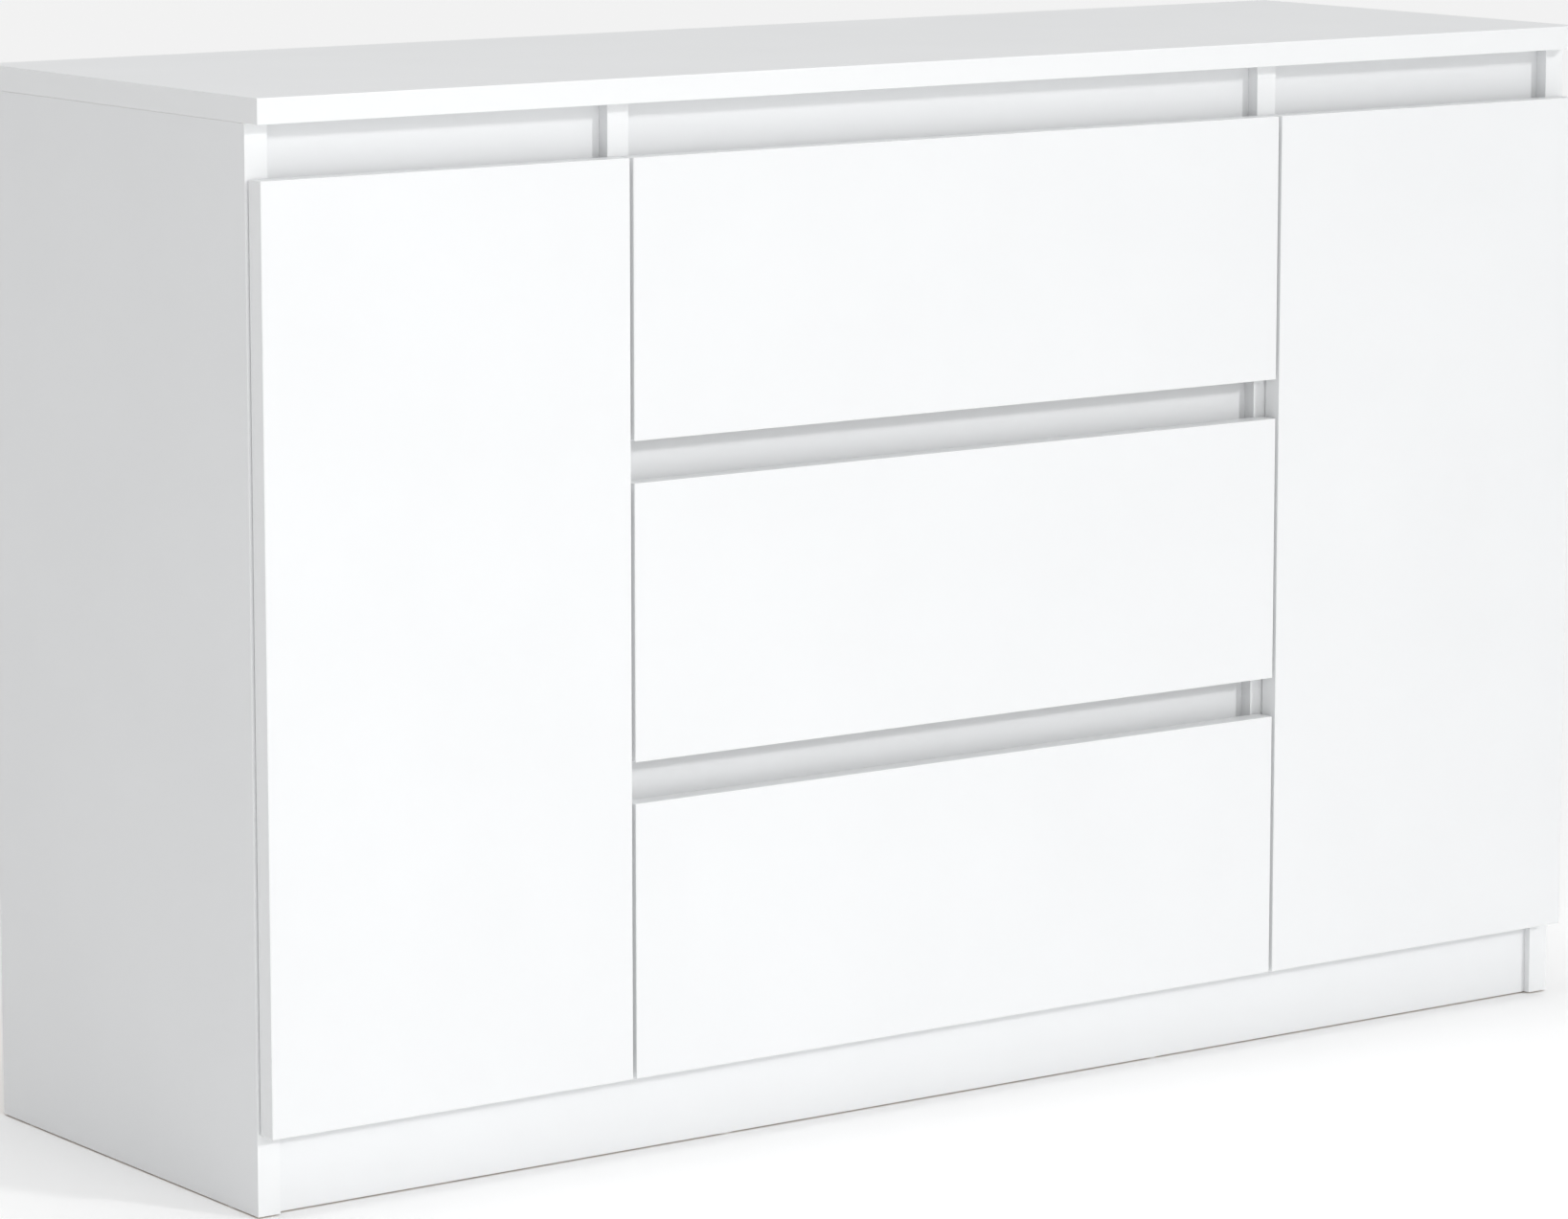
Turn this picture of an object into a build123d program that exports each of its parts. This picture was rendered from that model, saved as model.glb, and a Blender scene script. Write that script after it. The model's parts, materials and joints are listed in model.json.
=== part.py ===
"""Sideboard with two hinged doors and three drawers. All sizes are in millimetres.

The origin is the middle of the footprint, on the floor. +X is to the right, +Y to the back, +Z up.
The doors and the drawer fronts face -Y.
"""
from build123d import *
from math import cos, radians, sin
import os

# Overall size
width = 1200.0
depth = 380.0
height = 775.0

# Boards
board = 18.0
front_board = 16.0
drawer_board = 12.0
sheet = 3.0
edge_radius = 0.6

# Layout of the front
door_width = 300.0
side_reveal = 2.0
front_joint = 3.0
front_gap = 1.0
top_recess = 38.0
drawer_gap = 30.0
drawer_names = ["lower", "middle", "upper"]

# Plinth, rails and back
glide_height = 1.0
plinth_height = 58.0
plinth_setback = 5.5
rear_plinth_setback = 20.0
rail_setback = 10.5
recess_rail_height = 60.0
drawer_rail_height = 50.0
sheet_cover = 1.0
rebate = 9.0
sheet_play = 0.5

# Shelves and their pins
shelf_setback = 20.0
shelf_back_gap = 6.0
shelf_play = 0.5
pin_radius = 2.5
pin_rest_radius = 3.2
pin_depth = 8.0
pin_length = 8.0
pin_inset = 37.0
pin_pitch = 32.0
pin_row_start = 259.0
pin_rows = 5
shelf_row = 2

# Cam fixings and dowels
drill_clearance = 0.1
cam_radius = 7.5
cam_length = 12.5
cam_reach = 34.0
bolt_radius = 3.0
bolt_bite = 11.0
bolt_shank_radius = 2.4
bolt_head_radius = 3.3
bolt_head_length = 4.0
bolt_head_play = 0.7
dowel_radius = 4.0
dowel_bite = 10.0
dowel_length = 30.0
fixing_inset = 60.0
dowel_offset = 32.0
rail_cam_rise = 12.0
rail_stagger = 6.0
plinth_dowel_spacing = 380.0

# Glides and nails
glide_radius = 8.0
glide_peg_radius = 2.5
glide_peg = 10.0
glide_inset = 40.0
plinth_glide_spacing = 400.0
nail_radius = 0.7
nail_length = 20.0
nail_head_radius = 1.8
nail_head = 0.6
nail_edge = 4.5
nail_end = 32.0
nails_up = 6

# Concealed door hinges. The arm's and the link's x values are distances from the door's outer edge
hinge_end = 100.0
pivot_inset = 4.2
pivot_depth = 4.5
cup_radius = 17.5
cup_edge = 3.0
cup_depth = 12.0
cup_wall = 1.0
cup_play = 0.05
flange_thickness = 1.2
flange_length = 54.0
flange_width = 18.0
cup_screw_shift = 9.5
cup_screw_rise = 22.5
cup_screw_radius = 1.6
cup_screw_head_radius = 3.2
cup_screw_head = 1.0
cup_screw_length = 11.0
arm_wall = 1.3
arm_half_width = 9.3
arm_low = 22.0
arm_high = 32.5
arm_front = 5.6
arm_length = 62.0
arm_web_start = 2.0
plate_play = 0.5
plate_start = 20.0
plate_end = 58.0
plate_wing = 2.0
plate_wing_reach = 24.0
plate_wing_width = 14.0
plate_screw_inset = 37.0
plate_screw_rise = 16.0
plate_screw_radius = 2.5
plate_screw_head_radius = 3.5
plate_screw_head = 2.0
plate_screw_bite = 11.0
link_pin_x = 30.0
link_pin_y = -3.0
link_pin_radius = 1.5
link_pin_play = 0.05
link_hub_radius = 2.6
link_half_width = 6.0
link_hub_play = 0.5
link_thickness = 2.0
link_reach = 20.3
link_angle = 185.4
link_elbow_reach = 14.0
link_elbow_offset = 3.2
link_eye_radius = 2.0
link_end_pin_radius = 1.2
link_end_pin_half = 6.5
notch_half_width = 7.0
notch_depth = 6.0
bumper_radius = 3.0
bumper_thickness = 0.9
bumper_inset = 20.0
bumper_rise = 2.0
bumper_edge = 3.8

# Drawer boxes
box_raise = 26.0
box_height = 130.0
drawer_back_gap = 10.0
groove_rise = 8.0
groove_depth = 5.0
groove_play = 0.2

# Ball-bearing drawer slides
slide_inset = 2.0
slide_rise = 35.0
slide_thickness = 12.5
slide_half_height = 17.5
slide_wall = 1.2
slide_flange = 9.0
runner_half_height = 10.7
runner_start = 4.0
ball_clearance = 0.3
ball_pitch = 12.0
ball_play = 0.2
retainer_start = 2.2
retainer_end_gap = 1.4
retainer_wall = 0.8
retainer_length = 95.0
slide_screw_places = [37.0, 165.0, 261.0]
slide_screw_radius = 1.8
slide_screw_head_radius = 3.2
slide_screw_bite = 12.0

# Sizes and planes that the pieces share
side_in = width / 2 - board
divider_mid = width / 2 - side_reveal - door_width - front_joint / 2
divider_in = divider_mid - board / 2
divider_out = divider_mid + board / 2
drawer_front_half = width / 2 - side_reveal - door_width - front_joint
y_face = -depth / 2
y_front_back = y_face + front_board
y_front = y_front_back + front_gap
y_back = depth / 2
y_sheet = y_back - sheet_cover - sheet
z_top = height - board
z_floor = glide_height + plinth_height
z_base = z_floor + board
z_fronts = z_top - top_recess
drawer_front_height = (z_fronts - z_floor - 2 * drawer_gap) / 3
rail_front = y_front + rail_setback
rail_mid = rail_front + board / 2
plinth_front = y_front + plinth_setback
plinth_mid = plinth_front + board / 2
rear_plinth_back = y_sheet - rear_plinth_setback
rear_plinth_mid = rear_plinth_back - board / 2
fixing_front = y_front + fixing_inset
fixing_back = y_back - fixing_inset
box_half = divider_in - slide_thickness
box_in = box_half - drawer_board
box_length = y_sheet - drawer_back_gap - y_front_back
slide_length = box_length
ball_height = (slide_half_height - slide_wall + runner_half_height) / 2
ball_radius = (slide_half_height - slide_wall - runner_half_height) / 2 - ball_clearance
ball_depth = (runner_start + slide_flange) / 2
balls_in_row = int((retainer_length - 2 * ball_radius) // ball_pitch) + 1
retainer_end = slide_thickness - slide_wall - retainer_end_gap
retainer_place = (slide_length - retainer_length) / 2
bolt_bore_radius = bolt_head_radius + bolt_head_play
link_hub_half_width = arm_half_width - arm_wall - link_hub_play
hinge_heights = [z_floor + hinge_end, z_fronts - hinge_end]

BASE = (Align.CENTER, Align.CENTER, Align.MIN)
pieces = {}
cutters = {}


def add(node, shape):
    """Put one more solid into a node."""
    pieces.setdefault(node, []).append(shape)


def cut(node, shape):
    """Note a shape that is taken out of a node once everything is placed."""
    cutters.setdefault(node, []).append(shape)


def block(x, y, z):
    """Box between a low and a high value along each axis."""
    spans = [x, y, z]
    centre = [(low + high) / 2 for low, high in spans]
    size = [high - low for low, high in spans]
    return Pos(*centre) * Box(*size)


def rod(radius, start, end):
    """Round bar from one point to another."""
    way = Vector(*end) - Vector(*start)
    return Plane(origin=start, z_dir=way) * Cylinder(radius, way.length, align=BASE)


def along(point, way, distance):
    """Point at a distance from another one."""
    return tuple(p + w * distance for p, w in zip(point, way))


def sided(side, low, high):
    """The pair of x values for the left (-1) or the right (+1) half."""
    return (low, high) if side > 0 else (-high, -low)


def side_name(side):
    return "right" if side > 0 else "left"


def rounded(shape):
    """Front boards and the top have slightly eased edges."""
    return fillet(shape.edges(), edge_radius)


def add_cam(end_board, wall_board, seat, way, face):
    """Cam lock in end_board and its bolt in wall_board.

    seat is the point where the bolt crosses from one board to the other, way points into end_board,
    and face points out of the side of end_board that the cam is dropped in from.
    """
    centre = along(seat, way, cam_reach)
    mouth = along(centre, face, board / 2)
    cam_end = along(mouth, face, -cam_length)
    head_start = along(centre, way, -bolt_head_length / 2)
    head_end = along(centre, way, bolt_head_length / 2)
    bolt = rod(bolt_radius, along(seat, way, -bolt_bite), seat)
    bolt += rod(bolt_shank_radius, seat, head_start)
    bolt += rod(bolt_head_radius, head_start, head_end)
    cam = rod(cam_radius, mouth, cam_end)
    cam -= rod(bolt_bore_radius, along(centre, way, -cam_radius), along(centre, way, bolt_head_length))
    add("cam_bolts", bolt)
    add("cam_locks", cam)
    cut(wall_board, rod(bolt_radius + drill_clearance, along(seat, way, -bolt_bite), seat))
    cut(end_board, rod(bolt_bore_radius, seat, centre))
    cut(end_board, rod(cam_radius + drill_clearance, mouth, cam_end))


def add_dowel(end_board, wall_board, seat, way):
    """Dowel across the joint of two boards, mostly in the end of end_board."""
    start = along(seat, way, -dowel_bite)
    end = along(seat, way, dowel_length - dowel_bite)
    add("dowels", rod(dowel_radius, start, end))
    cut(wall_board, rod(dowel_radius + drill_clearance, start, seat))
    cut(end_board, rod(dowel_radius + drill_clearance, seat, end))


def make_top():
    top = rounded(block((-width / 2, width / 2), (y_face, y_back), (z_top, height)))
    seat = side_in + rebate
    top -= block((-seat, seat), (y_sheet, y_back), (z_top, z_top + rebate))
    add("top_panel", top)


def make_side(side):
    """Side panel with the rebate for the back sheet, and its fixings to the top."""
    name = side_name(side) + "_side_panel"
    panel = block(sided(side, side_in, width / 2), (y_front, y_back), (glide_height, z_top))
    panel -= block(sided(side, side_in, side_in + rebate), (y_sheet, y_back), (z_floor, z_top))
    add(name, panel)
    x = side * (side_in + board / 2)
    for y, step in [(fixing_front, dowel_offset), (fixing_back, -dowel_offset)]:
        add_cam(name, "top_panel", (x, y, z_top), (0, 0, -1), (-side, 0, 0))
        add_dowel(name, "top_panel", (x, y + step, z_top), (0, 0, -1))


def make_divider(side):
    """Upright between a cupboard and the drawers, held by cams on its drawer side."""
    name = side_name(side) + "_divider"
    add(name, block(sided(side, divider_in, divider_out), (y_front, y_sheet), (z_base, z_top)))
    x = side * divider_mid
    for wall, z, up in [("top_panel", z_top, -1), ("bottom_panel", z_base, 1)]:
        for y, step in [(fixing_front, dowel_offset), (fixing_back, -dowel_offset)]:
            add_cam(name, wall, (x, y, z), (0, 0, up), (-side, 0, 0))
            add_dowel(name, wall, (x, y + step, z), (0, 0, up))


def make_bottom():
    add("bottom_panel", block((-side_in, side_in), (y_front, y_sheet), (z_floor, z_base)))
    z = z_floor + board / 2
    for side in (-1, 1):
        wall = side_name(side) + "_side_panel"
        for y, step in [(fixing_front, dowel_offset), (fixing_back, -dowel_offset)]:
            add_cam("bottom_panel", wall, (side * side_in, y, z), (-side, 0, 0), (0, 0, -1))
            add_dowel("bottom_panel", wall, (side * side_in, y + step, z), (-side, 0, 0))


def make_plinth():
    """Front and rear boards under the bottom panel, with a brace between them."""
    z_mid = (glide_height + z_floor) / 2
    for name, mid, face in [("front_plinth", plinth_mid, 1), ("rear_plinth", rear_plinth_mid, -1)]:
        add(name, block((-side_in, side_in), (mid - board / 2, mid + board / 2), (glide_height, z_floor)))
        for side in (-1, 1):
            wall = side_name(side) + "_side_panel"
            seat_x = side * side_in
            add_cam(name, wall, (seat_x, mid, z_mid + rail_cam_rise), (-side, 0, 0), (0, face, 0))
            add_dowel(name, wall, (seat_x, mid, z_mid - rail_cam_rise), (-side, 0, 0))
            add_dowel(name, "bottom_panel", (side * plinth_dowel_spacing, mid, z_floor), (0, 0, -1))
    brace_front = plinth_mid + board / 2
    brace_back = rear_plinth_mid - board / 2
    add("plinth_brace", block((-board / 2, board / 2), (brace_front, brace_back), (glide_height, z_floor)))
    for z in (z_mid - rail_cam_rise, z_mid + rail_cam_rise):
        add_dowel("plinth_brace", "front_plinth", (0, brace_front, z), (0, 1, 0))
        add_dowel("plinth_brace", "rear_plinth", (0, brace_back, z), (0, -1, 0))


def make_rail(name, x, z, walls, stagger):
    """Rail behind a finger gap. stagger keeps fixings of neighbouring bays apart in a divider."""
    add(name, block(x, (rail_front, rail_front + board), z))
    z_mid = (z[0] + z[1]) / 2 + stagger
    for end, way, wall in [(x[0], 1, walls[0]), (x[1], -1, walls[1])]:
        add_cam(name, wall, (end, rail_mid, z_mid + rail_cam_rise), (way, 0, 0), (0, 1, 0))
        add_dowel(name, wall, (end, rail_mid, z_mid - rail_cam_rise), (way, 0, 0))


def make_rails():
    recess = (z_top - recess_rail_height, z_top)
    dividers = ["left_divider", "right_divider"]
    make_rail("left_recess_rail", (-side_in, -divider_out), recess,
              ["left_side_panel", "left_divider"], rail_stagger)
    make_rail("centre_recess_rail", (-divider_in, divider_in), recess, dividers, -rail_stagger)
    make_rail("right_recess_rail", (divider_out, side_in), recess,
              ["right_divider", "right_side_panel"], rail_stagger)
    for number, name in [(1, "lower_drawer_rail"), (2, "upper_drawer_rail")]:
        z_gap = z_floor + number * drawer_front_height + (number - 0.5) * drawer_gap
        z = (z_gap - drawer_rail_height / 2, z_gap + drawer_rail_height / 2)
        make_rail(name, (-divider_in, divider_in), z, dividers, 0)


def make_shelf(side):
    """Loose shelf on four pins, with rows of spare pin holes in the two uprights."""
    walls = [(side_name(side) + "_divider", side * divider_out, side),
             (side_name(side) + "_side_panel", side * side_in, -side)]
    rest = z_base + pin_row_start + shelf_row * pin_pitch
    for y in (y_front + pin_inset, y_sheet - pin_inset):
        for wall, x, way in walls:
            for row in range(pin_rows):
                z = z_base + pin_row_start + row * pin_pitch
                cut(wall, rod(pin_radius + drill_clearance, (x - way * (pin_depth + 1), y, z), (x, y, z)))
            pin = rod(pin_radius, (x - way * pin_depth, y, rest), (x, y, rest))
            add("shelf_pins", pin + rod(pin_rest_radius, (x, y, rest), (x + way * pin_length, y, rest)))
    z = rest + pin_rest_radius
    x = sided(side, divider_out + shelf_play, side_in - shelf_play)
    add(side_name(side) + "_shelf", block(x, (y_front + shelf_setback, y_sheet - shelf_back_gap),
                                          (z, z + board)))


def add_nail(x, z):
    """Nail through the back sheet, with its head standing a little proud."""
    y = y_sheet + sheet
    nail = rod(nail_radius, (x, y - nail_length, z), (x, y, z))
    add("back_nails", nail + rod(nail_head_radius, (x, y, z), (x, y + nail_head, z)))


def make_back():
    """Three sheets that meet on the dividers, nailed all round."""
    edge = side_in + rebate - sheet_play
    joint = divider_mid + sheet_play / 2
    z = (z_floor, z_top + rebate - sheet_play)
    y = (y_sheet, y_sheet + sheet)
    add("left_back_sheet", block((-edge, -joint), y, z))
    add("centre_back_sheet", block((sheet_play / 2 - divider_mid, divider_mid - sheet_play / 2), y, z))
    add("right_back_sheet", block((joint, edge), y, z))
    columns = [side_in + nail_edge, divider_mid + nail_edge, divider_mid - nail_edge]
    step = (z_top - z_floor - 2 * nail_end) / (nails_up - 1)
    for x in columns:
        for row in range(nails_up):
            add_nail(-x, z_floor + nail_end + row * step)
            add_nail(x, z_floor + nail_end + row * step)
    bay = side_in - divider_out
    for x in (divider_in / 4, divider_in * 3 / 4, divider_out + bay / 3, divider_out + bay * 2 / 3):
        for z in (z_floor + board / 2, z_top + nail_edge):
            add_nail(-x, z)
            add_nail(x, z)


def make_glides():
    """Plastic pads with a peg, pushed into the lower edges."""
    places = []
    for side in (-1, 1):
        x = side * (side_in + board / 2)
        places.append((side_name(side) + "_side_panel", x, y_front + glide_inset))
        places.append((side_name(side) + "_side_panel", x, y_back - glide_inset))
        places.append(("front_plinth", side * plinth_glide_spacing / 2, plinth_mid))
        places.append(("rear_plinth", side * plinth_glide_spacing / 2, rear_plinth_mid))
    for wall, x, y in places:
        low, high = (x, y, glide_height), (x, y, glide_height + glide_peg)
        add("floor_glides", rod(glide_radius, (x, y, 0), low) + rod(glide_peg_radius, low, high))
        cut(wall, rod(glide_peg_radius + drill_clearance, low, high))


def bar(start, end, thickness, z):
    """Flat bar with round ends between two points of a plan."""
    (x0, y0), (x1, y1) = start, end
    low, high = z
    shape = rod(thickness / 2, (x0, y0, low), (x0, y0, high))
    shape += rod(thickness / 2, (x1, y1, low), (x1, y1, high))
    way = Vector(x1 - x0, y1 - y0, 0)
    middle = Plane(origin=((x0 + x1) / 2, (y0 + y1) / 2, (low + high) / 2), x_dir=way, z_dir=(0, 0, 1))
    return shape + middle * Box(way.length, thickness, high - low)


def hinge_cup(x_cup, z):
    """Round cup let into the door, with the flange that is screwed to the door's back."""
    y_floor = y_front_back - cup_depth
    flange_x = x_cup + cup_screw_shift
    flange = block((flange_x - flange_width / 2, flange_x + flange_width / 2),
                   (y_front_back, y_front_back + flange_thickness),
                   (z - flange_length / 2, z + flange_length / 2))
    cup = flange + rod(cup_radius - cup_play, (x_cup, y_floor, z), (x_cup, y_front_back, z))
    inner = cup_radius - cup_wall
    cup -= rod(inner, (x_cup, y_floor + cup_wall, z), (x_cup, y_front_back + flange_thickness, z))
    cup -= block((x_cup - cup_radius, x_cup - cup_radius / 2), (y_front_back - notch_depth, y_front_back),
                 (z - notch_half_width, z + notch_half_width))
    for rise in (-cup_screw_rise, cup_screw_rise):
        cup -= rod(cup_screw_radius, (flange_x, y_front_back, z + rise),
                   (flange_x, y_front_back + flange_thickness, z + rise))
    return cup


def cup_screw(x, z):
    """Screw that holds a cup's flange, its head on the flange."""
    y = y_front_back + flange_thickness
    head = rod(cup_screw_head_radius, (x, y, z), (x, y + cup_screw_head, z))
    return head + rod(cup_screw_radius, (x, y - cup_screw_length, z), (x, y, z))


def hinge_arm(x_edge, z):
    """Channel over the mounting plate, whose two cheeks reach forward to the link's pin."""
    half = arm_half_width
    x_low, x_high = x_edge + arm_low, x_edge + arm_high
    y_end = y_front + arm_length
    arm = block((x_high - arm_wall, x_high), (y_front + arm_web_start, y_end), (z - half, z + half))
    for low in (z - half, z + half - arm_wall):
        arm += block((x_low, x_high), (y_front - arm_front, y_end), (low, low + arm_wall))
    x_pin, y_pin = x_edge + link_pin_x, y_front + link_pin_y
    return arm + rod(link_pin_radius, (x_pin, y_pin, z - half), (x_pin, y_pin, z + half))


def hinge_plate(x_side, x_edge, z):
    """Mounting plate with two wings for its screws. It fills the room between the side and the arm."""
    half = arm_half_width - arm_wall - plate_play
    y_screw = y_front + plate_screw_inset
    plate = block((x_side, x_edge + arm_high - arm_wall), (y_front + plate_start, y_front + plate_end),
                  (z - half, z + half))
    x_wing = x_side + plate_wing
    plate += block((x_side, x_wing), (y_screw - plate_wing_width / 2, y_screw + plate_wing_width / 2),
                   (z - plate_wing_reach, z + plate_wing_reach))
    for rise in (-plate_screw_rise, plate_screw_rise):
        plate -= rod(plate_screw_radius, (x_side, y_screw, z + rise), (x_wing, y_screw, z + rise))
    return plate


def plate_screw(x_side, z):
    """Short thick screw that holds a mounting plate."""
    y = y_front + plate_screw_inset
    x = x_side + plate_wing
    head = rod(plate_screw_head_radius, (x, y, z), (x + plate_screw_head, y, z))
    return head + rod(plate_screw_radius, (x_side - plate_screw_bite, y, z), (x, y, z))


def hinge_link(x_edge, z):
    """Bent link that turns on the arm's pin and reaches into the cup."""
    pin = (x_edge + link_pin_x, y_front + link_pin_y)
    along_x, along_y = cos(radians(link_angle)), sin(radians(link_angle))
    end = (pin[0] + link_reach * along_x, pin[1] + link_reach * along_y)
    elbow = (pin[0] + link_elbow_reach * along_x - link_elbow_offset * along_y,
             pin[1] + link_elbow_reach * along_y + link_elbow_offset * along_x)
    span = (z - link_half_width, z + link_half_width)
    link = bar(pin, elbow, link_thickness, span) + bar(elbow, end, link_thickness, span)
    link += rod(link_hub_radius, (*pin, z - link_hub_half_width), (*pin, z + link_hub_half_width))
    link += rod(link_eye_radius, (*end, z - link_half_width), (*end, z + link_half_width))
    link += rod(link_end_pin_radius, (*end, z - link_end_pin_half), (*end, z + link_end_pin_half))
    bore = link_pin_radius + link_pin_play
    return link - rod(bore, (*pin, z - link_hub_half_width), (*pin, z + link_hub_half_width))


def make_door(side):
    """Door with its hinges. The pieces are drawn for the left door and mirrored for the right one."""
    name = side_name(side)
    flip = (lambda shape: shape) if side < 0 else (lambda shape: mirror(shape, about=Plane.YZ))
    x_edge = side_reveal - width / 2
    add(name + "_door", flip(rounded(block((x_edge, x_edge + door_width), (y_face, y_front_back),
                                           (z_floor, z_fronts)))))
    x_cup = x_edge + cup_edge + cup_radius
    for z in hinge_heights:
        cup_bore = rod(cup_radius, (x_cup, y_front_back - cup_depth, z), (x_cup, y_front_back, z))
        cut(name + "_door", flip(cup_bore))
        add(name + "_hinge_cups", flip(hinge_cup(x_cup, z)))
        add(name + "_hinge_links", flip(hinge_link(x_edge, z)))
        add("hinge_arms", flip(hinge_arm(x_edge, z)))
        add("hinge_plates", flip(hinge_plate(-side_in, x_edge, z)))
        for rise in (-cup_screw_rise, cup_screw_rise):
            add(name + "_cup_screws", flip(cup_screw(x_cup + cup_screw_shift, z + rise)))
        for rise in (-plate_screw_rise, plate_screw_rise):
            add("hinge_plate_screws", flip(plate_screw(-side_in, z + rise)))
    x = x_edge + door_width - bumper_edge
    for z in (z_base + bumper_rise, z_fronts - bumper_inset):
        bumper = rod(bumper_radius, (x, y_front_back, z), (x, y_front_back + bumper_thickness, z))
        add(name + "_door_bumpers", flip(bumper))


def make_drawer(number, name):
    """Drawer front with the box behind it."""
    z_front = z_floor + number * (drawer_front_height + drawer_gap)
    z_box = z_front + box_raise
    y_end = y_front_back + box_length
    z_groove = (z_box + groove_rise, z_box + groove_rise + sheet + groove_play)
    front = rounded(block((-drawer_front_half, drawer_front_half), (y_face, y_front_back),
                          (z_front, z_front + drawer_front_height)))
    groove_half = box_in + groove_depth
    add(name + "_drawer_front", front)
    y_groove = y_front_back - groove_depth
    cut(name + "_drawer_front", block((-groove_half, groove_half), (y_groove, y_front_back), z_groove))
    for side in (-1, 1):
        board_side = block(sided(side, box_in, box_half), (y_front_back, y_end), (z_box, z_box + box_height))
        board_side -= block(sided(side, box_in, groove_half), (y_front_back, y_end), z_groove)
        add(name + "_drawer_sides", board_side)
    sheet_top = z_groove[0] + sheet
    add(name + "_drawer_back", block((-box_in, box_in), (y_end - drawer_board, y_end),
                                     (sheet_top, z_box + box_height)))
    sheet_half = groove_half - sheet_play
    add(name + "_drawer_bottom", block((-sheet_half, sheet_half), (y_groove + sheet_play, y_end),
                                       (z_groove[0], sheet_top)))


def channel(side, tall, web, reach, wall, y, z):
    """U-shaped strip beside a divider: web and reach are distances from the divider's face."""
    x_web, x_legs = ([side * (divider_in - d) for d in pair] for pair in (web, reach))
    shape = block(sorted(x_web), y, (z - tall, z + tall))
    shape += block(sorted(x_legs), y, (z + tall - wall, z + tall))
    return shape + block(sorted(x_legs), y, (z - tall, z - tall + wall))


def ball_retainer(side, z):
    """Cage that keeps the two rows of balls apart, and the balls in it."""
    start = y_front + slide_inset + retainer_place
    tall = ball_height + retainer_wall / 2
    cage = channel(side, tall, (retainer_start, retainer_start + retainer_wall),
                   (retainer_start, retainer_end), retainer_wall, (start, start + retainer_length), z)
    first = start + (retainer_length - (balls_in_row - 1) * ball_pitch) / 2
    x = side * (divider_in - ball_depth)
    balls = []
    for row in (-ball_height, ball_height):
        for number in range(balls_in_row):
            y = first + number * ball_pitch
            cage -= rod(ball_radius + ball_play, (x, y, z + row - retainer_wall),
                        (x, y, z + row + retainer_wall))
            balls.append(Pos(x, y, z + row) * Sphere(ball_radius))
    return cage, balls


def make_slides(number, name):
    """Pair of ball-bearing slides: cabinet member, ball retainer and drawer member."""
    z = z_floor + number * (drawer_front_height + drawer_gap) + box_raise + slide_rise
    y = (y_front + slide_inset, y_front + slide_inset + slide_length)
    for side in (-1, 1):
        outer = channel(side, slide_half_height, (0, slide_wall), (0, slide_flange), slide_wall, y, z)
        face = side * divider_in
        for place in slide_screw_places:
            y_screw = y_front + place
            end = face - side * slide_wall
            outer -= rod(slide_screw_head_radius, (face, y_screw, z), (end, y_screw, z))
            screw = rod(slide_screw_head_radius, (face, y_screw, z), (end, y_screw, z))
            tip = face + side * slide_screw_bite
            screw += rod(slide_screw_radius, (tip, y_screw, z), (face, y_screw, z))
            add("slide_screws", screw)
        add("slide_cabinet_members", outer)
        add(name + "_slide_runners", channel(side, runner_half_height,
                                             (slide_thickness - slide_wall, slide_thickness),
                                             (runner_start, slide_thickness), slide_wall, y, z))
        cage, balls = ball_retainer(side, z)
        add(name + "_ball_retainers", cage)
        for ball in balls:
            add(name + "_ball_retainers", ball)


make_top()
make_bottom()
make_plinth()
make_rails()
for hand in (-1, 1):
    make_side(hand)
    make_divider(hand)
    make_shelf(hand)
    make_door(hand)
make_back()
make_glides()
for level, drawer in enumerate(drawer_names):
    make_drawer(level, drawer)
    make_slides(level, drawer)

os.makedirs("parts", exist_ok=True)
for node, shapes in pieces.items():
    tools = cutters.get(node, [])
    cut_shapes = [shape - tools if tools else shape for shape in shapes]
    bodies = [solid for shape in cut_shapes for solid in shape.solids()]
    export_step(Compound(children=bodies), f"parts/{node}.step")
    print(node, len(bodies))
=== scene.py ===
# %% [markdown]
# # A white sideboard with two doors and three drawers
# The real piece is flat-pack furniture: laminated chipboard held by cam locks and dowels, a thin back
# that is nailed on, doors on concealed hinges and drawers on ball-bearing slides.
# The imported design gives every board, hole and joint at its true size. This lesson gives each piece
# its surface: eased edges, edge banding, raw chipboard where no band was glued, and real hardware.

# %% Load the frame
import json
import math

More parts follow.
